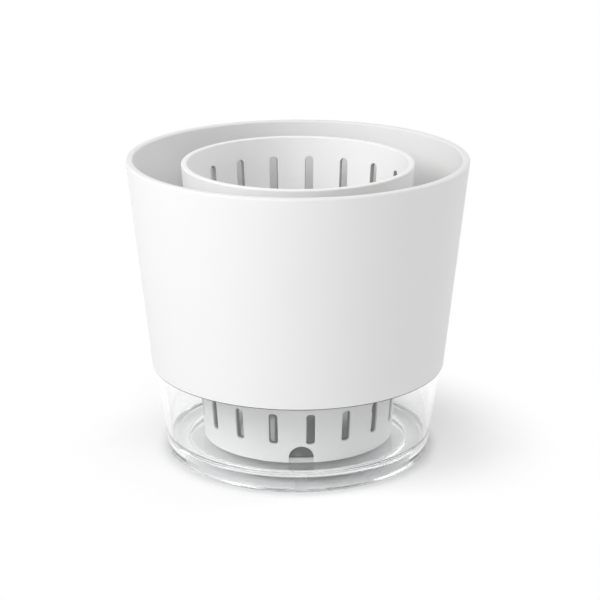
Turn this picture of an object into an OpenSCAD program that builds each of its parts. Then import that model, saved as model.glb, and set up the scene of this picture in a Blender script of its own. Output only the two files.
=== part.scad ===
// Self-watering orchid pot.
// A slotted basket stands on the floor of a clear reservoir. A tapered cover pot goes round
// the basket and rests on the reservoir's spigot with its ring floor.
// The origin is the centre of the foot, on the table, and the front is towards -Y.

/* [Cover pot] */
// Outer diameter at the rim
pot_rim_d = 150; // [136:1:180]
// Outer diameter at the lower edge
pot_foot_d = 130.9; // [122:0.1:135]
// Height from the lower edge to the rim
pot_h = 93.2; // [75:0.1:130]
// Thickness of the wall, measured level
pot_wall = 3.2; // [2.4:0.1:3.8]
// Thickness of the skirt round the spigot, measured level
pot_skirt = 1.6; // [1.2:0.1:2.2]
// Rounding of both edges of the rim
pot_rim_round = 1; // [0.4:0.1:1.1]
// Rounding of the lower outer edge
pot_foot_round = 0.6; // [0.2:0.1:1]
// Thickness of the ring floor that carries the pot
ring_floor_t = 2.5; // [1.8:0.1:4]
// Height of the collar that guides the basket, above the ring floor
collar_h = 5; // [3:0.5:10]
// Thickness of the collar
collar_t = 2; // [1.6:0.1:3]
// Fillet between the wall and the ring floor
pot_fillet = 2.5; // [1:0.1:4]

/* [Clear reservoir] */
// How far the clear wall lies inside the pot's outline at the joint
base_inset = 1; // [0.5:0.1:1.6]
// Outer diameter that the clear wall's line reaches on the table
base_foot_d = 117.6; // [112:0.1:122]
// Height of the shoulder under the pot's lower edge
shoulder_h = 40.4; // [34:0.1:60]
// Thickness of the clear wall at the floor, measured level
base_wall = 3; // [2.4:0.1:4]
// Height of the floor above the table
base_floor_h = 7.9; // [5:0.1:10]
// Thickness of the floor over the underside recess
base_floor_t = 2.2; // [1.6:0.1:3]
// Fillet between the wall and the floor
base_fillet = 3; // [1.5:0.1:6]
// Rounding of the outer lower edge
base_foot_round = 2; // [1:0.1:4]
// Width of the foot ring, from the edge of the underside recess to the wall's line
foot_ring_w = 9.5; // [7:0.1:14]
// Height of the spigot above the shoulder
spigot_h = 5.6; // [4:0.1:8]
// Thickness of the spigot's wall at its top
spigot_wall = 2; // [1.6:0.1:2.6]

/* [Basket] */
// Outer diameter at the rim
basket_rim_d = 102; // [96:1:108]
// Outer diameter at the foot
basket_foot_d = 84.6; // [78:0.1:90]
// How far the basket's rim lies below the pot's rim
basket_drop = 2.5; // [0:0.1:8]
// Thickness of the wall, measured level
basket_wall = 2.6; // [2:0.1:3]
// Thickness of the floor plate
basket_floor_t = 2.1; // [1.6:0.1:4]
// From the top of the lower slots to the underside of the floor plate
basket_floor_gap = 1; // [0.6:0.1:6]
// Rounding of both edges of the rim
basket_rim_round = 0.7; // [0.3:0.1:0.9]
// Rounding of the outer lower edge
basket_foot_round = 0.4; // [0.2:0.1:0.5]
// Chamfer between the wall and the floor plate
basket_chamfer = 1.2; // [0.4:0.1:2]

/* [Slots and notches] */
// Width of every slot
slot_w = 3.9; // [2.6:0.05:5]
// Slots in the upper row
upper_slots = 18; // [10:1:22]
// Distance from the basket's rim to the top of the upper slots
upper_slot_drop = 9; // [6:0.1:16]
// Length of the upper slots
upper_slot_len = 40; // [15:0.5:48]
// Angle of the first upper slot, from the front
upper_slot_turn = 13.7; // [0:0.1:36]
// Slots in the lower row
lower_slots = 17; // [10:1:20]
// Height of the lower slots' ends above the basket's foot
lower_slot_rise = 9; // [9:0.1:14]
// Length of the lower slots
lower_slot_len = 14.1; // [8:0.1:20]
// Rounding of the corners of the lower slots
lower_slot_round = 1.4; // [0.5:0.1:1.9]
// Angle of the first lower slot, from the front
lower_slot_turn = 7.2; // [0:0.1:36]
// Drain notches round the foot
notches = 4; // [3:1:6]
// Width of a notch
notch_w = 10.8; // [6:0.1:12]
// Height of a notch, with its round top
notch_h = 8.1; // [7:0.1:8.4]
// Height of the sill that a notch leaves at the foot
notch_sill = 2.3; // [1:0.1:2.5]
// How far the sill lies inside the foot's outline
notch_inset = 0.6; // [0.6:0.1:2]
// Angle of the first notch, from the front
notch_turn = 2; // [0:0.1:36]
// Drain slots in the floor plate
floor_slots = 8; // [4:1:10]
// Distance from the middle to the inner ends of the floor slots
floor_slot_start = 14; // [10:0.5:16]
// Length of the floor slots
floor_slot_len = 18; // [10:0.5:20]

/* [Clearances] */
// Gap between the pot's lower edge and the shoulder
shadow_gap = 0.6; // [0.3:0.1:1.2]
// Gap between the spigot and the inside of the pot's skirt
spigot_clear = 0.4; // [0.3:0.05:0.8]
// Gap between the collar and the basket
basket_clear = 1; // [0.5:0.1:2]

/* [Hidden] */
$fn = 128;

// Heights, from the table up
pot_z = shoulder_h + shadow_gap;
rim_z = pot_z + pot_h;
seat_z = shoulder_h + spigot_h;
ring_z = seat_z + ring_floor_t;
collar_z = ring_z + collar_h;
recess_z = base_floor_h - base_floor_t;
foot_z = base_floor_h;
lower_slot_z = foot_z + lower_slot_rise;
lower_slot_top = lower_slot_z + lower_slot_len;
plate_low_z = lower_slot_top + basket_floor_gap;
plate_z = plate_low_z + basket_floor_t;
basket_z = rim_z - basket_drop;

// Radii as lines over the height
function lerp_r(r0, z0, r1, z1, z) = r0 + (r1 - r0) * (z - z0) / (z1 - z0);
function pot_r(z) = lerp_r(pot_foot_d / 2, pot_z, pot_rim_d / 2, rim_z, z);
function pot_in_r(z) = pot_r(z) - pot_wall;
function skirt_r(z) = pot_r(z) - pot_skirt;
function base_r(z) = lerp_r(base_foot_d / 2, 0, pot_foot_d / 2 - base_inset, shoulder_h, z);
function basket_r(z) = lerp_r(basket_foot_d / 2, foot_z, basket_rim_d / 2, basket_z, z);
function basket_in_r(z) = basket_r(z) - basket_wall;
function collar_in_r(z) = basket_r(z) + basket_clear;

spigot_r = skirt_r(pot_z) - spigot_clear;
recess_r = base_foot_d / 2 - foot_ring_w;

// How far a cutter reaches past what it cuts
corner_lap = 0.5;
cut_lap = 1;

// Colours of the moulded plastics
white_gloss = [0.95, 0.95, 0.945];
white_satin = [0.93, 0.93, 0.925];
clear_plastic = [0.82, 0.87, 0.89, 0.35];

// An arc of radius r in the corner p, whose edges run towards a and b, and tangent to both:
// its centre, and its ends on the two edges
function unit(v) = v / norm(v);
function half_angle(p, a, b) = acos(unit(a - p) * unit(b - p)) / 2;
function arc_centre(p, a, b, r) = p + unit(unit(a - p) + unit(b - p)) * r / sin(half_angle(p, a, b));
function arc_ends(p, a, b, r) = [for (q = [a, b]) p + unit(q - p) * r / tan(half_angle(p, a, b))];

// Cutter that rounds an outer corner
module rounding(p, a, b, r) {
    ends = arc_ends(p, a, b, r);
    middle = arc_centre(p, a, b, r);
    difference() {
        polygon([p + unit(p - middle) * corner_lap, ends[0], middle, ends[1]]);
        translate(middle) circle(r);
    }
}

// Cutter for an inner corner whose outline runs straight between the arc's ends
module fillet(p, a, b, r) {
    translate(arc_centre(p, a, b, r)) circle(r);
}

// A radial cutter of slot width with round corners, from height z0 to z1, through the whole wall
module wall_slot(z0, z1, corner) {
    near = basket_in_r(z0) - cut_lap;
    depth = basket_r(z1) + cut_lap - near;
    side = slot_w / 2 - corner;
    translate([near, 0, 0]) {
        translate([0, -slot_w / 2, z0 + corner]) cube([depth, slot_w, z1 - z0 - 2 * corner]);
        for (z = [z0 + corner, z1 - corner], y = side > 0 ? [-side, side] : [0])
            translate([0, y, z]) rotate([0, 90, 0]) cylinder(r = corner, h = depth);
        if (side > 0) translate([0, -side, z0]) cube([depth, 2 * side, z1 - z0]);
    }
}

// Copies of a child that points along +X, spread round the axis from an angle off the front
module spread(count, turn) {
    for (i = [0 : count - 1])
        rotate([0, 0, turn - 90 + i * 360 / count]) children();
}

// Clear reservoir: tapered wall and floor, foot ring below, spigot above
module reservoir_profile() {
    in_floor = [base_r(base_floor_h) - base_wall, base_floor_h];
    in_top = [spigot_r - spigot_wall, seat_z];
    out_foot = [base_r(0), 0];
    out_shoulder = [base_r(shoulder_h), shoulder_h];
    in_middle = [0, base_floor_h];
    difference() {
        polygon(concat(
            [[0, recess_z], [recess_r, recess_z], [recess_r, 0]],
            [out_foot, out_shoulder],
            [[spigot_r, shoulder_h], [spigot_r, seat_z]],
            [in_top],
            arc_ends(in_floor, in_top, in_middle, base_fillet),
            [in_middle]
        ));
        rounding(out_foot, [recess_r, 0], out_shoulder, base_foot_round);
        fillet(in_floor, in_top, in_middle, base_fillet);
    }
}

module reservoir() {
    color(clear_plastic) rotate_extrude() reservoir_profile();
}

// Cover pot: tapered wall, ring floor on the spigot, and a collar round the basket
module cover_pot_profile() {
    out_foot = [pot_r(pot_z), pot_z];
    out_rim = [pot_r(rim_z), rim_z];
    in_rim = [pot_in_r(rim_z), rim_z];
    in_floor = [pot_in_r(ring_z), ring_z];
    in_foot = [skirt_r(pot_z), pot_z];
    collar_top = [collar_in_r(collar_z), collar_z];
    collar_out = [collar_in_r(collar_z) + collar_t, collar_z];
    collar_foot = [collar_out[0], ring_z];
    difference() {
        polygon(concat(
            [out_foot, out_rim, in_rim],
            arc_ends(in_floor, in_rim, collar_foot, pot_fillet),
            [collar_foot, collar_out, collar_top],
            [[collar_in_r(seat_z), seat_z], [skirt_r(seat_z), seat_z]],
            [in_foot]
        ));
        rounding(out_rim, in_rim, out_foot, pot_rim_round);
        rounding(in_rim, out_rim, in_floor, pot_rim_round);
        rounding(out_foot, in_foot, out_rim, pot_foot_round);
        fillet(in_floor, in_rim, collar_foot, pot_fillet);
    }
}

module cover_pot() {
    color(white_gloss) rotate_extrude() cover_pot_profile();
}

// Basket: tapered wall with a rounded rim, and a floor plate that leaves an open skirt below
module basket_profile() {
    out_foot = [basket_r(foot_z), foot_z];
    out_rim = [basket_r(basket_z), basket_z];
    in_rim = [basket_in_r(basket_z), basket_z];
    in_floor = [basket_in_r(plate_z), plate_z];
    in_foot = [basket_in_r(foot_z), foot_z];
    chamfer_z = plate_z + basket_chamfer;
    difference() {
        polygon([
            out_foot,
            out_rim,
            in_rim,
            [basket_in_r(chamfer_z), chamfer_z],
            in_floor - [basket_chamfer, 0],
            [0, plate_z],
            [0, plate_low_z],
            [basket_in_r(plate_low_z), plate_low_z],
            in_foot
        ]);
        rounding(out_foot, in_foot, out_rim, basket_foot_round);
        rounding(out_rim, in_rim, out_foot, basket_rim_round);
        rounding(in_rim, out_rim, in_floor, basket_rim_round);
    }
}

// Arch through the skirt, which leaves a sill at the foot
module notch() {
    near = basket_in_r(foot_z) - cut_lap;
    depth = basket_r(foot_z + notch_h) + cut_lap - near;
    spring_h = notch_h - notch_w / 2;
    difference() {
        translate([near, 0, foot_z]) {
            translate([0, -notch_w / 2, -cut_lap]) cube([depth, notch_w, spring_h + cut_lap]);
            translate([0, 0, spring_h]) rotate([0, 90, 0]) cylinder(d = notch_w, h = depth);
        }
        translate([0, 0, foot_z - 2 * cut_lap])
            cylinder(r = basket_r(foot_z) - notch_inset, h = notch_sill + 2 * cut_lap);
    }
}

// Radial drain slot through the floor plate
module floor_slot() {
    near = floor_slot_start + slot_w / 2;
    far = floor_slot_start + floor_slot_len - slot_w / 2;
    cut_h = basket_floor_t + 2 * cut_lap;
    translate([0, 0, plate_low_z - cut_lap]) {
        for (x = [near, far])
            translate([x, 0, 0]) cylinder(d = slot_w, h = cut_h);
        translate([near, -slot_w / 2, 0]) cube([far - near, slot_w, cut_h]);
    }
}

module basket() {
    upper_top = basket_z - upper_slot_drop;
    color(white_satin) difference() {
        rotate_extrude() basket_profile();
        spread(upper_slots, upper_slot_turn)
            wall_slot(upper_top - upper_slot_len, upper_top, slot_w / 2);
        spread(lower_slots, lower_slot_turn)
            wall_slot(lower_slot_z, lower_slot_top, min(lower_slot_round, slot_w / 2));
        spread(notches, notch_turn) notch();
        spread(floor_slots, 0) floor_slot();
    }
}

reservoir();
cover_pot();
basket();
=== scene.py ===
"""Studio scene of a self-watering orchid pot: a white cover pot, a slotted basket and a clear reservoir.

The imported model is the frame: each piece is modelled where its node stands and rides on the node's body.
"""

from math import atan2, cos, pi, radians, sin, tan

import bmesh
import bpy
from bpy.props import FloatProperty, FloatVectorProperty, IntProperty, PointerProperty
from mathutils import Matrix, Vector


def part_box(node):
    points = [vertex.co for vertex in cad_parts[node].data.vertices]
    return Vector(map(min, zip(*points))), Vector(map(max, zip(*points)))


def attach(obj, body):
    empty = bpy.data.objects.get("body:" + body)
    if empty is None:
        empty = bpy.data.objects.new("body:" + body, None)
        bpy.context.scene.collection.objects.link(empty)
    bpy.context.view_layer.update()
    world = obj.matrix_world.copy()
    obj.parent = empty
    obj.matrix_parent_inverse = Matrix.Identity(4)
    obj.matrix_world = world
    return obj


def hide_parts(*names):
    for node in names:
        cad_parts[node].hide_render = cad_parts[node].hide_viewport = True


bl_info = {
    "name": "Orchid Pot",
    "version": (1, 0, 0),
    "blender": (4, 5, 0),
    "location": "View3D > Sidebar > Orchid Pot",
    "description": "Builds an orchid pot of three moulded pieces, with its finishes and its studio",
    "category": "Add Mesh",
}

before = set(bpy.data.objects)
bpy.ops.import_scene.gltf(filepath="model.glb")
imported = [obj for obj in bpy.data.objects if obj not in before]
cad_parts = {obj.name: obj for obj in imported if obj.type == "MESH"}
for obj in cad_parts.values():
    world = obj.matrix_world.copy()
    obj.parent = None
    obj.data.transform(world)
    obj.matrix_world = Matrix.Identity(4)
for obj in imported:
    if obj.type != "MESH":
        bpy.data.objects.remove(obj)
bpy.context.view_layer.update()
POT_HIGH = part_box("cover_pot")[1]
BASKET_LOW, BASKET_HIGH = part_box("basket")
BASE_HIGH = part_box("reservoir")[1]

# Steps of a full turn, and of the rounding of one corner
TURN_STEPS = 288
ROUND_STEPS = 6
# Longest edge of an outline before it is turned
ROW = 0.004
# Sides of the round bars that become cutters, a multiple of 4
BAR_SIDES = 24
# Points closer than this are one point
WELD = 1e-6
# Edges sharper than this stay sharp in the shading
SMOOTH_ANGLE = radians(35)
# How far a cutter reaches past what it cuts
CUT_LAP = 0.001
# Film of air under what stands or rests, which keeps two faces from lying in one plane
FILM = 0.00005
# Height of the reservoir's shoulder, which the cover pot's lower edge all but touches
SHOULDER_Z = 0.0404
# Noise in the plastics: features to a metre, levels of detail
FLOW_NOISE = (60, 3)
MOTTLE_NOISE = (25, 2)
GRAIN_NOISE = (3200, 2)
WAVE_NOISE = (70, 2)
HAZE_NOISE = (240, 3)
# Bumps in the plastics: strength, height
GRAIN_BUMP = (0.06, 0.0001)
WAVE_BUMP = (0.02, 0.0001)
# Scale of the flow marks, which are drawn out upwards
FLOW_SCALE = (1, 1, 0.25)
# White plastic: darkest mottle as a share of its white, spread of its roughness, index of refraction, gloss
FAINT_SHARE = 0.985
ROUGH_SPREAD = 0.1
WHITE_IOR = 1.49
WHITE_GLOSS = 0.3
# Clear plastic: its least roughness, what haze adds, and the height over which the thick part begins
CLEAR_ROUGH = 0.004
CLEAR_HAZE = 0.016
THICK_FADE = 0.001
# Share of the foot's rounding that the painted shadow line at the joint fills before it fades
JOINT_SHADOW_FULL = 0.7
# How much painted shade the sides of the upper slots take, as a share of the skirt's inside
SLOT_SHADE = 0.75
# Studio: pure white, sides of the round floor, width of the camera's sensor in millimetres
WHITE = (1, 1, 1, 1)
FLOOR_SIDES = 96
SENSOR = 36
# Distance of the lamps from the point they light
LAMP_REACH = 1.2
# Soft lamps: name, angle from the front towards +X, angle above the table, side, watts
LAMPS = (
    ("key_lamp", -40, 30, 1.0, 2.5),
    ("high_lamp", -66, 40, 0.7, 5.3),
    ("left_lamp", -90, 36, 0.7, 1.5),
    ("upper_lamp", 10, 50, 0.7, 2.4),
    ("front_lamp", 0, 12, 0.7, 1.7),
    ("right_lamp", 120, 30, 0.7, 4.7),
)


# Settings that a user can change


def length(name, description, default):
    """A length in metres."""
    return FloatProperty(
        name=name, description=description, default=default, min=0, unit="LENGTH", precision=5
    )


def turn(name, description, default):
    """An angle, given here in degrees."""
    return FloatProperty(name=name, description=description, default=radians(default), subtype="ANGLE")


def amount(name, description, default):
    """A plain number from 0 up."""
    return FloatProperty(name=name, description=description, default=default, min=0, precision=4)


def count(name, description, default):
    """A whole number of copies."""
    return IntProperty(name=name, description=description, default=default, min=1)


def colour(name, description, default):
    """A linear colour."""
    return FloatVectorProperty(
        name=name, description=description, default=default, size=3, min=0, max=1, subtype="COLOR"
    )


def place(name, description, default):
    """A point in metres."""
    return FloatVectorProperty(
        name=name, description=description, default=default, size=3, subtype="XYZ_LENGTH"
    )


class CoverPotSizes(bpy.types.PropertyGroup):
    """Sizes of the white cover pot."""

    rim_d: length("Rim diameter", "Outer diameter at the rim", 0.150)
    foot_d: length("Foot diameter", "Outer diameter at the lower edge", 0.1309)
    rim_z: length("Rim height", "Height of the rim above the table", POT_HIGH.z)
    foot_z: length("Foot height", "Height of the lower edge above the table", SHOULDER_Z + FILM)
    wall: length("Wall", "Thickness of the wall, measured level", 0.0032)
    skirt_t: length("Skirt", "Thickness of the skirt round the spigot, measured level", 0.0016)
    rim_round: length("Rim rounding", "Rounding of both edges of the rim", 0.001)
    foot_round: length("Foot rounding", "Rounding of the lower outer edge", 0.0006)
    seat_z: length("Seat height", "Underside of the ring floor, on the spigot", BASE_HIGH.z + FILM)
    ring_t: length("Ring floor", "Thickness of the ring floor", 0.0025)
    collar_h: length("Collar height", "Height of the collar above the ring floor", 0.005)
    collar_t: length("Collar thickness", "Thickness of the collar", 0.002)
    fillet: length("Fillet", "Fillet between the wall and the ring floor", 0.0025)
    basket_clear: length("Basket clearance", "Gap between the collar and the basket", 0.001)
    edge_round: length("Edge rounding", "Rounding of the hidden edges", 0.0004)


class BasketSizes(bpy.types.PropertyGroup):
    """Sizes of the slotted basket."""

    rim_d: length("Rim diameter", "Outer diameter at the rim", 0.102)
    foot_d: length("Foot diameter", "Outer diameter at the foot", 0.0846)
    rim_z: length("Rim height", "Height of the rim above the table", BASKET_HIGH.z)
    foot_z: length("Foot height", "Height of the foot above the table", BASKET_LOW.z + FILM)
    wall: length("Wall", "Thickness of the wall, measured level", 0.0026)
    floor_t: length("Floor", "Thickness of the floor plate", 0.0021)
    floor_gap: length("Floor gap", "From the top of the lower slots to the floor plate", 0.001)
    rim_round: length("Rim rounding", "Rounding of both edges of the rim", 0.0007)
    foot_round: length("Foot rounding", "Rounding of the outer lower edge", 0.0004)
    fillet: length("Fillet", "Fillet between the wall and the floor plate", 0.0012)
    slot_w: length("Slot width", "Width of every slot", 0.0039)
    slot_edge: length("Slot edge", "Chamfer round the slots and notches", 0.00012)
    upper_slots: count("Upper slots", "Slots in the upper row", 18)
    upper_drop: length("Upper slot drop", "From the rim to the top of the upper slots", 0.009)
    upper_len: length("Upper slot length", "Length of the upper slots", 0.040)
    upper_turn: turn("Upper slot turn", "Angle of the first upper slot from the front", 13.7)
    lower_slots: count("Lower slots", "Slots in the lower row", 17)
    lower_rise: length("Lower slot rise", "From the foot to the lower end of the lower slots", 0.009)
    lower_len: length("Lower slot length", "Length of the lower slots", 0.0141)
    lower_round: length("Lower slot rounding", "Rounding of the corners of the lower slots", 0.0014)
    lower_turn: turn("Lower slot turn", "Angle of the first lower slot from the front", 7.2)
    notches: count("Notches", "Drain notches round the foot", 4)
    notch_w: length("Notch width", "Width of a notch", 0.0108)
    notch_h: length("Notch height", "Height of a notch with its round top", 0.0081)
    notch_sill: length("Notch sill", "Sill that a notch leaves at the foot", 0.0023)
    notch_inset: length("Notch inset", "How far a notch's sill lies inside the foot's outline", 0.0006)
    notch_turn: turn("Notch turn", "Angle of the first notch from the front", 2)
    floor_slots: count("Floor slots", "Drain slots in the floor plate", 8)
    floor_slot_start: length("Floor slot start", "From the middle to the floor slots", 0.014)
    floor_slot_len: length("Floor slot length", "Length of the floor slots", 0.018)


class ReservoirSizes(bpy.types.PropertyGroup):
    """Sizes of the clear reservoir."""

    shoulder_d: length("Shoulder diameter", "Outer diameter under the cover pot", 0.1289)
    foot_d: length("Foot diameter", "Outer diameter that the wall's line reaches on the table", 0.1176)
    shoulder_z: length("Shoulder height", "Height of the shoulder under the cover pot", SHOULDER_Z)
    top_z: length("Top", "Height of the spigot's top", BASE_HIGH.z)
    wall: length("Wall", "Thickness of the wall at the floor, measured level", 0.003)
    floor_z: length("Floor height", "Height of the floor above the table", 0.0079)
    floor_t: length("Floor", "Thickness of the floor over the recess in the underside", 0.0022)
    fillet: length("Fillet", "Fillet between the wall and the floor", 0.003)
    foot_round: length("Foot rounding", "Rounding of the outer lower edge", 0.002)
    foot_ring_w: length("Foot ring", "From the edge of the recess to the wall's line", 0.0095)
    spigot_d: length("Spigot diameter", "Outer diameter of the spigot", 0.1269)
    spigot_wall: length("Spigot wall", "Thickness of the spigot at its top", 0.002)
    shoulder_round: length("Shoulder rounding", "Rounding of the shoulder's outer edge", 0.00015)
    edge_round: length("Edge rounding", "Rounding of the moulding's edges", 0.0004)
    mark_x: length("Mark place", "From the middle to the moulding mark at the front of the foot", 0.0009)
    mark_w: length("Mark width", "Width of the moulding mark", 0.0059)
    mark_edge: length("Mark edge", "Width over which the moulding mark fades", 0.0006)


class PotFinishes(bpy.types.PropertyGroup):
    """Colours and gloss of the plastics, and the greys that paint shade on them."""

    pot_white: colour("Pot white", "Colour of the cover pot", (0.87, 0.87, 0.868))
    basket_white: colour("Basket white", "Colour of the basket", (0.96, 0.96, 0.958))
    clear_tint: colour("Clear tint", "Colour that the clear plastic lets through", (0.992, 0.995, 0.995))
    thick_tint: colour("Thick tint", "Colour that the thick foot lets through", (0.982, 0.987, 0.99))
    thick_shade: colour("Thick shade", "Share of lamp light that it lets through", (0.93, 0.935, 0.94))
    # Grey of the painted shadow line along the cover pot's lower edge
    joint_shadow_grey: colour("Joint grey", "Colour of the damp line at the pot's foot", (0.07, 0.07, 0.07))
    # Grey of the painted shade inside the basket's skirt and, fainter, on the sides of its upper slots
    skirt_shade_grey: colour("Skirt grey", "Colour of the damp inside of the skirt", (0.3, 0.3, 0.298))
    pot_rough: amount("Pot roughness", "Mean roughness of the cover pot", 0.42)
    basket_rough: amount("Basket roughness", "Mean roughness of the basket", 0.5)
    mark_rough: amount("Mark roughness", "How frosted the moulding mark is", 0.3)
    clear_ior: amount("Clear index", "Index of refraction of the clear plastic", 1.5)


class StudioSettings(bpy.types.PropertyGroup):
    """Camera, lamps and backdrop."""

    camera: place("Camera", "Place of the camera", (0.00094, -0.77655, 0.31825))
    target: place("Target", "Point in the middle of the picture", (0.00094, 0, 0.06804))
    lens: amount("Lens", "Focal length in millimetres, on a 36 mm sensor", 109.5)
    lamp_power: amount("Lamp power", "Power of all lamps, as a share of what they are set up for", 1.0)
    fill: amount("Fill", "Strength of the even light from all round", 0.27)
    bounces: count("Bounces", "Bounces that light makes inside the clear plastic", 24)
    floor_d: length("Floor", "Diameter of the floor", 12.0)
    fade_from_d: length("Fade from", "Diameter at which the shadow begins to fade to white", 0.132)
    fade_full_d: length("Fade full", "Diameter from which the floor is white", 0.25)
    floor_white: colour("Floor white", "Colour of the floor", (0.9, 0.9, 0.9))
    floor_glow: amount("Floor glow", "How brightly the floor shines by itself round the pot", 0.2)
    glow_from_d: length("Glow from", "Diameter at which the floor begins to shine", 0.116)
    glow_full_d: length("Glow full", "Diameter from which the floor shines fully", 0.130)


class OrchidPotSettings(bpy.types.PropertyGroup):
    """All settings of the pot."""

    cover_pot: PointerProperty(type=CoverPotSizes)
    basket: PointerProperty(type=BasketSizes)
    reservoir: PointerProperty(type=ReservoirSizes)
    finishes: PointerProperty(type=PotFinishes)
    studio: PointerProperty(type=StudioSettings)


# Modelling


def add_primitive(name, add, **sizes):
    """Adds a primitive with nothing else selected, puts its place in its mesh and opens it in edit mode."""
    bpy.ops.object.select_all(action="DESELECT")
    add(**sizes)
    piece = bpy.context.object
    piece.name = name
    piece.data.name = name
    bpy.ops.object.transform_apply(location=True, rotation=True, scale=True)
    bpy.ops.object.mode_set(mode="EDIT")
    bpy.ops.mesh.select_mode(type="VERT")
    return piece


def pick(piece, wanted):
    """Selects the points of the piece in edit mode whose place passes the test."""
    bpy.ops.mesh.select_mode(type="VERT")
    bpy.ops.mesh.select_all(action="DESELECT")
    shape = bmesh.from_edit_mesh(piece.data)
    for point in shape.verts:
        point.select = wanted(point.co)
    shape.select_flush_mode()
    bmesh.update_edit_mesh(piece.data)


def pick_at(piece, *places):
    """Selects the points of the piece in edit mode that lie at these places."""
    pick(piece, lambda co: any((co - p).length < WELD for p in places))


def pick_long(piece, longest):
    """Selects the edges of the piece in edit mode that are longer than this, and tells if there are any."""
    bpy.ops.mesh.select_mode(type="EDGE")
    bpy.ops.mesh.select_all(action="DESELECT")
    shape = bmesh.from_edit_mesh(piece.data)
    long_edges = [edge for edge in shape.edges if edge.calc_length() > longest]
    for edge in long_edges:
        edge.select_set(True)
    bmesh.update_edit_mesh(piece.data)
    return len(long_edges) > 0


def draw_outline(piece, places, closed):
    """Shrinks the edited primitive to one point and extrudes it along the outline."""
    bpy.ops.mesh.merge(type="CENTER")
    bpy.ops.transform.translate(value=places[0])
    for here, there in zip(places, places[1:]):
        bpy.ops.mesh.extrude_region_move(TRANSFORM_OT_translate={"value": there - here})
    if closed:
        pick_at(piece, places[0], places[-1])
        bpy.ops.mesh.edge_face_add()


def round_corner(piece, before, corner, after, radius):
    """Bevels one corner of the outline into an arc."""
    half_angle = (before - corner).angle(after - corner) / 2
    pick_at(piece, corner)
    bpy.ops.mesh.bevel(
        affect="VERTICES",
        offset_type="OFFSET",
        offset=radius / tan(half_angle),
        segments=ROUND_STEPS,
        profile=0.5,
    )


def lathe(name, outline, closed=False):
    """Turns an outline of (radius, height, rounding) corners round the upright axis into a piece."""
    piece = add_primitive(name, bpy.ops.mesh.primitive_plane_add, size=0.01)
    places = [Vector((radius, 0, height)) for radius, height, _ in outline]
    draw_outline(piece, places, closed)
    last = len(places) - 1
    for i, (_, _, rounding) in enumerate(outline):
        if rounding > 0:
            round_corner(piece, places[i - 1], places[i], places[0 if i == last else i + 1], rounding)
    while pick_long(piece, ROW):
        bpy.ops.mesh.subdivide()
    bpy.ops.mesh.select_all(action="SELECT")
    bpy.ops.mesh.spin(steps=TURN_STEPS, angle=2 * pi, center=(0, 0, 0), axis=(0, 0, 1), use_auto_merge=True)
    bpy.ops.mesh.select_all(action="SELECT")
    bpy.ops.mesh.remove_doubles(threshold=WELD)
    bpy.ops.mesh.normals_make_consistent(inside=False)
    bpy.ops.object.mode_set(mode="OBJECT")
    return piece


def along(low, high, height):
    """Radius at a height on the straight wall between two (radius, height) points."""
    return low[0] + (high[0] - low[0]) * (height - low[1]) / (high[1] - low[1])


def front(angle, radius, height):
    """The point at this angle from the front, counted towards +X."""
    return Vector((radius * sin(angle), -radius * cos(angle), height))


def slot_cutter(name, width, height, corner, depth, edge):
    """Cutter for a slot with round corners in an upright wall at the origin, flared at both faces."""
    bar = add_primitive(
        name,
        bpy.ops.mesh.primitive_cylinder_add,
        vertices=BAR_SIDES,
        radius=corner,
        depth=depth - 2 * edge,
        rotation=(pi / 2, pi / BAR_SIDES, 0),
    )
    flare = edge + CUT_LAP
    grown = 1 + flare / corner
    for side in (-1, 1):
        pick(bar, lambda co: co.y * side > 0)
        bpy.ops.mesh.extrude_region_move(TRANSFORM_OT_translate={"value": (0, side * flare, 0)})
        bpy.ops.transform.resize(value=(grown, 1, grown), center_override=(0, 0, 0))
    for way, size in ((Vector((1, 0, 0)), width), (Vector((0, 0, 1)), height)):
        for side in (-1, 1):
            pick(bar, lambda co: co.dot(way) * side > 0)
            bpy.ops.transform.translate(value=way * side * (size / 2 - corner))
    bpy.ops.object.mode_set(mode="OBJECT")
    return bar


def ring_of(cutter, tilt, radius, height, first, copies):
    """Tilts a cutter, moves it to its place round the axis and copies it all round."""
    bpy.ops.object.select_all(action="DESELECT")
    cutter.select_set(True)
    cutter.rotation_euler = (tilt, 0, first)
    cutter.location = front(first, radius, height)
    bpy.ops.object.transform_apply(location=True, rotation=True, scale=True)
    bpy.ops.object.mode_set(mode="EDIT")
    bpy.ops.mesh.select_all(action="SELECT")
    bpy.ops.mesh.spin(
        steps=copies - 1, dupli=True, angle=2 * pi * (copies - 1) / copies, center=(0, 0, 0), axis=(0, 0, 1)
    )
    bpy.ops.mesh.select_all(action="SELECT")
    bpy.ops.mesh.normals_make_consistent(inside=False)
    bpy.ops.object.mode_set(mode="OBJECT")
    return cutter


def apply_modifier(piece, kind, **settings):
    """Adds a modifier with these settings and applies it."""
    bpy.ops.object.select_all(action="DESELECT")
    piece.select_set(True)
    bpy.context.view_layer.objects.active = piece
    bpy.ops.object.modifier_add(type=kind)
    modifier = piece.modifiers[-1]
    for setting, value in settings.items():
        setattr(modifier, setting, value)
    bpy.ops.object.modifier_apply(modifier=modifier.name)


def cut(piece, cutter):
    """Takes the cutter out of the piece and deletes it."""
    apply_modifier(piece, "BOOLEAN", operation="DIFFERENCE", solver="EXACT", object=cutter)
    bpy.data.objects.remove(cutter)


def shade(piece):
    """Smooth shading that keeps flat and straight faces even beside their roundings."""
    bpy.ops.object.select_all(action="DESELECT")
    piece.select_set(True)
    bpy.context.view_layer.objects.active = piece
    bpy.ops.object.shade_smooth_by_angle(angle=SMOOTH_ANGLE)
    apply_modifier(piece, "WEIGHTED_NORMAL", keep_sharp=True, weight=100)


# Shader nodes


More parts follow.
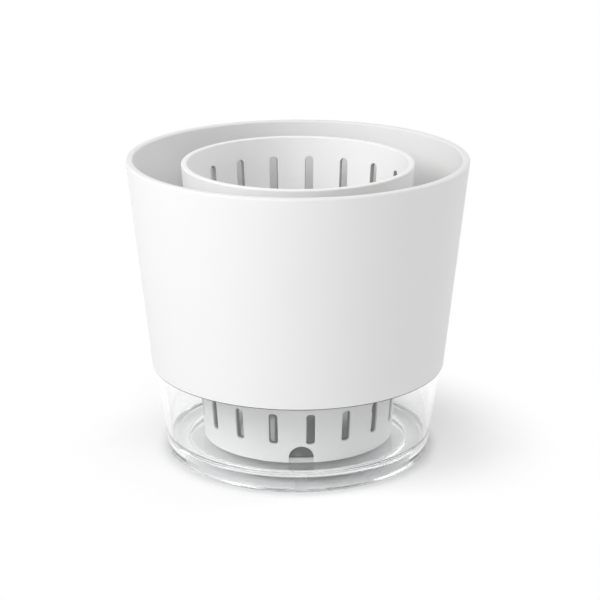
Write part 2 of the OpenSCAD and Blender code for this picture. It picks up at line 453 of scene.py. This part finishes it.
class Val:
    """A shader socket that Python expressions can use: an expression on values adds its Math nodes."""

    def __init__(self, nodes, socket):
        self.nodes = nodes
        self.socket = socket

    def math(self, operation, first, second):
        """A Math node."""
        return self.nodes.add("ShaderNodeMath", {"operation": operation}, {0: first, 1: second})

    def __add__(self, other):
        return self.math("ADD", self, other)

    def __radd__(self, other):
        return self.math("ADD", other, self)

    def __sub__(self, other):
        return self.math("SUBTRACT", self, other)

    def __rsub__(self, other):
        return self.math("SUBTRACT", other, self)

    def __mul__(self, other):
        return self.math("MULTIPLY", self, other)

    def __rmul__(self, other):
        return self.math("MULTIPLY", other, self)


class Nodes:
    """The node tree of a material or a world."""

    def __init__(self, owner):
        owner.use_nodes = True
        self.tree = owner.node_tree
        self.tree.nodes.clear()

    def add(self, kind, settings=None, sockets=None, out=0):
        """Adds a node, sets its settings first and then the values or links of its sockets."""
        node = self.tree.nodes.new(kind)
        for setting, value in (settings or {}).items():
            setattr(node, setting, value)
        for socket, value in (sockets or {}).items():
            self.feed(node.inputs[socket], value)
        return Val(self, node.outputs[out]) if node.outputs else None

    def feed(self, socket, value):
        """Links a value to a socket, or sets a plain number or colour on it."""
        if isinstance(value, Val):
            self.tree.links.new(value.socket, socket)
        else:
            socket.default_value = value

    def blend(self, share, first, second):
        """The first colour where share is 0, the second where it is 1."""
        return self.add("ShaderNodeMix", {"data_type": "RGBA"}, {0: share, 6: first, 7: second}, out=2)

    def part(self, vector, axis):
        """One axis of a vector."""
        return self.add("ShaderNodeSeparateXYZ", {}, {0: vector}, out=axis)

    def height(self, vector):
        """Height above the table."""
        return self.part(vector, "Z")

    def below(self, value, full, end):
        """1 where the value is under full, and 0 from end on."""
        return self.add("ShaderNodeMapRange", {}, {0: value, 1: full, 2: end, 3: 1.0, 4: 0.0})

    def rise(self, value, start, full, top=1.0):
        """0 up to start, then a smooth climb to top at full."""
        smooth = {"interpolation_type": "SMOOTHSTEP"}
        return self.add("ShaderNodeMapRange", smooth, {0: value, 1: start, 2: full, 3: 0.0, 4: top})

    def reach(self, vector):
        """Distance from the upright axis."""
        level = self.add("ShaderNodeVectorMath", {"operation": "MULTIPLY"}, {0: vector, 1: (1, 1, 0)})
        return self.add("ShaderNodeVectorMath", {"operation": "LENGTH"}, {0: level}, out="Value")

    def bump(self, height, strength, distance):
        """A normal that follows the height."""
        return self.add("ShaderNodeBump", {}, {"Strength": strength, "Distance": distance, "Height": height})

    def noise(self, vector, scale, detail):
        """Noise from 0 to 1, with this many features to a metre."""
        return self.add("ShaderNodeTexNoise", {}, {"Vector": vector, "Scale": scale, "Detail": detail})


def opaque(colour_value):
    """A colour with an alpha of 1."""
    return (*colour_value, 1.0)


def white_plastic(name, white, roughness, grey_of_shade, shade_mask):
    """Moulded white plastic: a fine grain from the mould, soft flow marks in the gloss, a faint mottle.

    Where the mask gives 1 it takes a grey that paints shade in.
    """
    material = bpy.data.materials.new(name)
    nodes = Nodes(material)
    spot = nodes.add("ShaderNodeTexCoord", out="Object")
    flow_spot = nodes.add("ShaderNodeMapping", {}, {"Vector": spot, "Scale": FLOW_SCALE})
    flow = nodes.noise(flow_spot, *FLOW_NOISE)
    mottle = nodes.noise(spot, *MOTTLE_NOISE)
    grain = nodes.noise(spot, *GRAIN_NOISE)
    faint = opaque([c * FAINT_SHARE for c in white])
    shade_of_white = nodes.blend(mottle, faint, opaque(white))
    # Paints shade in: the white turns to the grey where the mask gives 1
    white_and_shade = nodes.blend(shade_mask(nodes, spot), shade_of_white, opaque(grey_of_shade))
    plastic = nodes.add(
        "ShaderNodeBsdfPrincipled",
        {},
        {
            "Base Color": white_and_shade,
            "Roughness": roughness - ROUGH_SPREAD / 2 + flow * ROUGH_SPREAD,
            "IOR": WHITE_IOR,
            "Specular IOR Level": WHITE_GLOSS,
            "Normal": nodes.bump(grain, *GRAIN_BUMP),
        },
    )
    nodes.add("ShaderNodeOutputMaterial", {}, {"Surface": plastic})
    return material


def clear_plastic(name, looks, thick_z, mark):
    """Clear moulded plastic with a faint waviness, darker below thick_z, which lets lamps shine through.

    Where mark gives 1 it is frosted.
    """
    material = bpy.data.materials.new(name)
    nodes = Nodes(material)
    spot = nodes.add("ShaderNodeTexCoord", out="Object")
    thick = nodes.below(nodes.height(spot), thick_z, thick_z + THICK_FADE)
    waves = nodes.noise(spot, *WAVE_NOISE)
    haze = nodes.noise(spot, *HAZE_NOISE)
    plastic = nodes.add(
        "ShaderNodeBsdfPrincipled",
        {},
        {
            "Base Color": nodes.blend(thick, opaque(looks.clear_tint), opaque(looks.thick_tint)),
            "Roughness": CLEAR_ROUGH + haze * CLEAR_HAZE + mark(nodes, spot) * looks.mark_rough,
            "IOR": looks.clear_ior,
            "Transmission Weight": 1.0,
            "Normal": nodes.bump(waves, *WAVE_BUMP),
        },
    )
    through_thick = nodes.add("ShaderNodeBsdfTransparent", {}, {"Color": opaque(looks.thick_shade)})
    through_thin = nodes.add("ShaderNodeBsdfTransparent", {}, {"Color": opaque(looks.clear_tint)})
    through = nodes.add("ShaderNodeMixShader", {}, {0: thick, 1: through_thin, 2: through_thick})
    lamp_ray = nodes.add("ShaderNodeLightPath", out="Is Shadow Ray")
    mixed = nodes.add("ShaderNodeMixShader", {}, {0: lamp_ray, 1: plastic, 2: through})
    nodes.add("ShaderNodeOutputMaterial", {}, {"Surface": mixed})
    return material


def dress(piece, material, node):
    """Gives a piece its material and ties it to the node that it stands for, on that node's body."""
    piece.data.materials.clear()
    piece.data.materials.append(material)
    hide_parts(node)
    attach(piece, node)


# Operators


class ORCHID_OT_reservoir(bpy.types.Operator):
    """Turn the clear reservoir from its outline"""

    bl_idname = "orchid.reservoir"
    bl_label = "Reservoir"

    def execute(self, context):
        settings = context.scene.orchid_pot
        s = settings.reservoir
        foot = (s.foot_d / 2, 0)
        shoulder = (s.shoulder_d / 2, s.shoulder_z)
        spigot_r = s.spigot_d / 2
        recess_r = s.foot_d / 2 - s.foot_ring_w
        recess_z = s.floor_z - s.floor_t
        floor_r = along(foot, shoulder, s.floor_z) - s.wall
        piece = lathe(
            "reservoir_shell",
            [
                (0, recess_z, 0),
                (recess_r, recess_z, s.edge_round),
                (recess_r, 0, s.edge_round),
                (*foot, s.foot_round),
                (*shoulder, s.shoulder_round),
                (spigot_r, s.shoulder_z, s.edge_round),
                (spigot_r, s.top_z, s.edge_round),
                (spigot_r - s.spigot_wall, s.top_z, s.edge_round),
                (floor_r, s.floor_z, s.fillet),
                (0, s.floor_z, 0),
            ],
        )
        shade(piece)
        looks = settings.finishes

        def moulding_mark(nodes, spot):
            """A frosted upright band on the foot ring, at the front."""
            aside = nodes.part(spot, "X") - s.mark_x
            off = nodes.add("ShaderNodeMath", {"operation": "ABSOLUTE"}, {0: aside})
            band = nodes.below(off, s.mark_w / 2 - s.mark_edge, s.mark_w / 2)
            back = -recess_r - s.mark_edge
            ahead = nodes.below(nodes.part(spot, "Y"), back - s.mark_edge, back)
            return band * ahead * nodes.below(nodes.height(spot), s.floor_z - s.mark_edge, s.floor_z)

        material = clear_plastic("clear_plastic", looks, s.floor_z, moulding_mark)
        dress(piece, material, "reservoir")
        return {"FINISHED"}


class ORCHID_OT_cover_pot(bpy.types.Operator):
    """Turn the white cover pot from its outline"""

    bl_idname = "orchid.cover_pot"
    bl_label = "Cover pot"

    def execute(self, context):
        settings = context.scene.orchid_pot
        s = settings.cover_pot
        foot = (s.foot_d / 2, s.foot_z)
        rim = (s.rim_d / 2, s.rim_z)
        basket = settings.basket
        basket_foot = (basket.foot_d / 2, basket.foot_z)
        basket_rim = (basket.rim_d / 2, basket.rim_z)
        ring_z = s.seat_z + s.ring_t
        collar_z = ring_z + s.collar_h
        collar_r = along(basket_foot, basket_rim, collar_z) + s.basket_clear
        ring_r = along(basket_foot, basket_rim, s.seat_z) + s.basket_clear
        piece = lathe(
            "cover_pot_shell",
            [
                (*foot, s.foot_round),
                (*rim, s.rim_round),
                (rim[0] - s.wall, s.rim_z, s.rim_round),
                (along(foot, rim, ring_z) - s.wall, ring_z, s.fillet),
                (collar_r + s.collar_t, ring_z, s.edge_round),
                (collar_r + s.collar_t, collar_z, s.edge_round),
                (collar_r, collar_z, s.edge_round),
                (ring_r, s.seat_z, s.edge_round),
                (along(foot, rim, s.seat_z) - s.skirt_t, s.seat_z, s.edge_round),
                (foot[0] - s.skirt_t, s.foot_z, s.edge_round),
            ],
            closed=True,
        )
        shade(piece)
        looks = settings.finishes

        def painted_joint_shadow(nodes, spot):
            """Painted shadow along the lower edge, where the pot meets the reservoir."""
            full = s.foot_z + s.foot_round * JOINT_SHADOW_FULL
            return nodes.below(nodes.height(spot), full, s.foot_z + s.foot_round)

        material = white_plastic(
            "white_pot", looks.pot_white, looks.pot_rough, looks.joint_shadow_grey, painted_joint_shadow
        )
        dress(piece, material, "cover_pot")
        return {"FINISHED"}


class ORCHID_OT_basket(bpy.types.Operator):
    """Turn the basket from its outline and cut its slots and notches"""

    bl_idname = "orchid.basket"
    bl_label = "Basket"

    def execute(self, context):
        settings = context.scene.orchid_pot
        s = settings.basket
        foot = (s.foot_d / 2, s.foot_z)
        rim = (s.rim_d / 2, s.rim_z)
        lower_end = s.foot_z + s.lower_rise
        lower_top = lower_end + s.lower_len
        plate_low = lower_top + s.floor_gap
        plate_z = plate_low + s.floor_t
        piece = lathe(
            "basket_shell",
            [
                (0, plate_low, 0),
                (along(foot, rim, plate_low) - s.wall, plate_low, s.foot_round),
                (foot[0] - s.wall, s.foot_z, s.foot_round),
                (*foot, s.foot_round),
                (*rim, s.rim_round),
                (rim[0] - s.wall, s.rim_z, s.rim_round),
                (along(foot, rim, plate_z) - s.wall, plate_z, s.fillet),
                (0, plate_z, 0),
            ],
        )
        slope = atan2(rim[0] - foot[0], rim[1] - foot[1])

        def wall_slots(name, width, low, high, corner, first, copies):
            """Cutters through the wall from height low to high."""
            middle = (low + high) / 2
            cutter = slot_cutter(name, width, high - low, corner, s.wall, s.slot_edge)
            return ring_of(cutter, slope, along(foot, rim, middle) - s.wall / 2, middle, first, copies)

        upper_top = s.rim_z - s.upper_drop
        cut(piece, wall_slots("upper_bars", s.slot_w, upper_top - s.upper_len, upper_top,
                              s.slot_w / 2, s.upper_turn, s.upper_slots))
        cut(piece, wall_slots("lower_bars", s.slot_w, lower_end, lower_top,
                              s.lower_round, s.lower_turn, s.lower_slots))
        arches = wall_slots("arches", s.notch_w, s.foot_z - s.notch_w, s.foot_z + s.notch_h,
                            s.notch_w / 2, s.notch_turn, s.notches)
        plug = add_primitive(
            "plug",
            bpy.ops.mesh.primitive_cylinder_add,
            vertices=TURN_STEPS,
            radius=foot[0] - s.notch_inset,
            depth=2 * s.notch_sill,
            location=(0, 0, s.foot_z),
        )
        bpy.ops.object.mode_set(mode="OBJECT")
        cut(arches, plug)
        cut(piece, arches)
        drain = slot_cutter("drains", s.slot_w, s.floor_slot_len, s.slot_w / 2, s.floor_t, s.slot_edge)
        drain_r = s.floor_slot_start + s.floor_slot_len / 2
        cut(piece, ring_of(drain, pi / 2, drain_r, plate_low + s.floor_t / 2, 0, s.floor_slots))
        shade(piece)
        looks = settings.finishes

        def painted_shade(nodes, spot):
            """Painted shade: greys the inside of the skirt fully, and the sides of the upper slots more
            faintly.
            """
            height = nodes.height(spot)
            depth = foot[0] - nodes.reach(spot) + (height - foot[1]) * tan(slope)
            low = nodes.below(height, plate_low, plate_z)
            skirt = low * (1 - nodes.below(depth, s.notch_inset / 2, s.notch_inset * 2))
            outer = nodes.below(depth, s.slot_edge, s.slot_edge * 2)
            within = nodes.below(depth, s.wall - s.slot_edge * 2, s.wall - s.slot_edge)
            under_rim = nodes.below(height, upper_top, upper_top + s.slot_edge)
            return skirt + (1 - outer) * within * (1 - low) * under_rim * SLOT_SHADE

        material = white_plastic(
            "white_basket", looks.basket_white, looks.basket_rough, looks.skirt_shade_grey, painted_shade
        )
        dress(piece, material, "basket")
        return {"FINISHED"}


class ORCHID_OT_studio(bpy.types.Operator):
    """Set up the floor, the lamps and the camera"""

    bl_idname = "orchid.studio"
    bl_label = "Studio"

    def execute(self, context):
        s = context.scene.orchid_pot.studio
        context.scene.view_settings.view_transform = "Standard"
        context.scene.cycles.max_bounces = s.bounces
        context.scene.cycles.glossy_bounces = s.bounces
        context.scene.cycles.transmission_bounces = s.bounces
        add_floor(s)
        light_world(context.scene, s)
        bpy.ops.object.select_all(action="DESELECT")
        for name, turn_deg, rise_deg, side, watts in LAMPS:
            rise = radians(rise_deg)
            way = front(radians(turn_deg), cos(rise), sin(rise))
            bpy.ops.object.light_add(type="AREA", location=Vector(s.target) + way * LAMP_REACH)
            lamp = context.object
            lamp.name = name
            lamp.data.energy = watts * s.lamp_power
            lamp.data.size = side
            aim(lamp, s.target)
        bpy.ops.object.camera_add(location=s.camera)
        camera = context.object
        camera.data.lens = s.lens
        camera.data.sensor_width = SENSOR
        aim(camera, s.target)
        context.scene.camera = camera
        return {"FINISHED"}


def aim(thing, target):
    """Turns a lamp or camera to look at a point."""
    way = Vector(target) - thing.location
    thing.rotation_euler = way.to_track_quat("-Z", "Y").to_euler()


def seen_ray(nodes):
    """1 for rays that show the backdrop itself: straight to the camera, mirrored or through clear plastic.

    Light that a matt surface has scattered isn't among them, so the white backdrop lights nothing.
    """
    camera_ray = nodes.add("ShaderNodeLightPath", out="Is Camera Ray")
    glossy_ray = nodes.add("ShaderNodeLightPath", out="Is Glossy Ray")
    clear_ray = nodes.add("ShaderNodeLightPath", out="Is Transmission Ray")
    scatters = nodes.add("ShaderNodeLightPath", out="Diffuse Depth")
    straight = nodes.add("ShaderNodeMath", {"operation": "LESS_THAN"}, {0: scatters, 1: 0.5})
    shown = nodes.add(
        "ShaderNodeMath", {"operation": "ADD", "use_clamp": True}, {0: camera_ray + glossy_ray, 1: clear_ray}
    )
    return shown * straight


def add_floor(s):
    """A pale floor that takes the pot's shadow, shines a little and fades to white further out."""
    floor = add_primitive(
        "floor",
        bpy.ops.mesh.primitive_circle_add,
        vertices=FLOOR_SIDES,
        radius=s.floor_d / 2,
        fill_type="NGON",
        location=(0, 0, -2 * FILM),
    )
    bpy.ops.object.mode_set(mode="OBJECT")
    material = bpy.data.materials.new("floor_white")
    nodes = Nodes(material)
    spot = nodes.add("ShaderNodeTexCoord", out="Object")
    reach = nodes.reach(spot)
    fade = nodes.rise(reach, s.fade_from_d / 2, s.fade_full_d / 2)
    shine = nodes.rise(reach, s.glow_from_d / 2, s.glow_full_d / 2, s.floor_glow)
    matt = nodes.add("ShaderNodeBsdfDiffuse", {}, {"Color": opaque(s.floor_white)})
    seen = seen_ray(nodes)
    glow = nodes.add("ShaderNodeEmission", {}, {"Color": WHITE, "Strength": shine * seen})
    lit = nodes.add("ShaderNodeAddShader", {}, {0: matt, 1: glow})
    white = nodes.add("ShaderNodeEmission", {}, {"Color": WHITE, "Strength": 1.0})
    mixed = nodes.add("ShaderNodeMixShader", {}, {0: fade * seen, 1: lit, 2: white})
    nodes.add("ShaderNodeOutputMaterial", {}, {"Surface": mixed})
    floor.data.materials.append(material)


def light_world(scene, s):
    """An even light from all round that shows as white behind the pot."""
    world = bpy.data.worlds.new("studio_world")
    scene.world = world
    nodes = Nodes(world)
    light = nodes.add("ShaderNodeBackground", {}, {"Color": WHITE, "Strength": s.fill})
    white = nodes.add("ShaderNodeBackground", {}, {"Color": WHITE, "Strength": 1.0})
    mixed = nodes.add("ShaderNodeMixShader", {}, {0: seen_ray(nodes), 1: light, 2: white})
    nodes.add("ShaderNodeOutputWorld", {}, {"Surface": mixed})


class ORCHID_PT_panel(bpy.types.Panel):
    """Sidebar panel that lists the pot's operators"""

    bl_idname = "ORCHID_PT_panel"
    bl_label = "Orchid Pot"
    bl_space_type = "VIEW_3D"
    bl_region_type = "UI"
    bl_category = "Orchid Pot"

    def draw(self, context):
        for operator in OPERATORS:
            self.layout.operator(operator.bl_idname)


OPERATORS = (ORCHID_OT_studio, ORCHID_OT_reservoir, ORCHID_OT_cover_pot, ORCHID_OT_basket)
GROUPS = (CoverPotSizes, BasketSizes, ReservoirSizes, PotFinishes, StudioSettings, OrchidPotSettings)
CLASSES = (*GROUPS, *OPERATORS, ORCHID_PT_panel)


def register():
    """Registers the settings, the operators and the panel."""
    for each in CLASSES:
        bpy.utils.register_class(each)
    bpy.types.Scene.orchid_pot = PointerProperty(type=OrchidPotSettings)


def unregister():
    """Takes away what register added."""
    del bpy.types.Scene.orchid_pot
    for each in reversed(CLASSES):
        bpy.utils.unregister_class(each)


def main():
    """Builds the pot and its studio."""
    register()
    bpy.ops.orchid.studio()
    bpy.ops.orchid.reservoir()
    bpy.ops.orchid.cover_pot()
    bpy.ops.orchid.basket()


if __name__ == "__main__":
    main()
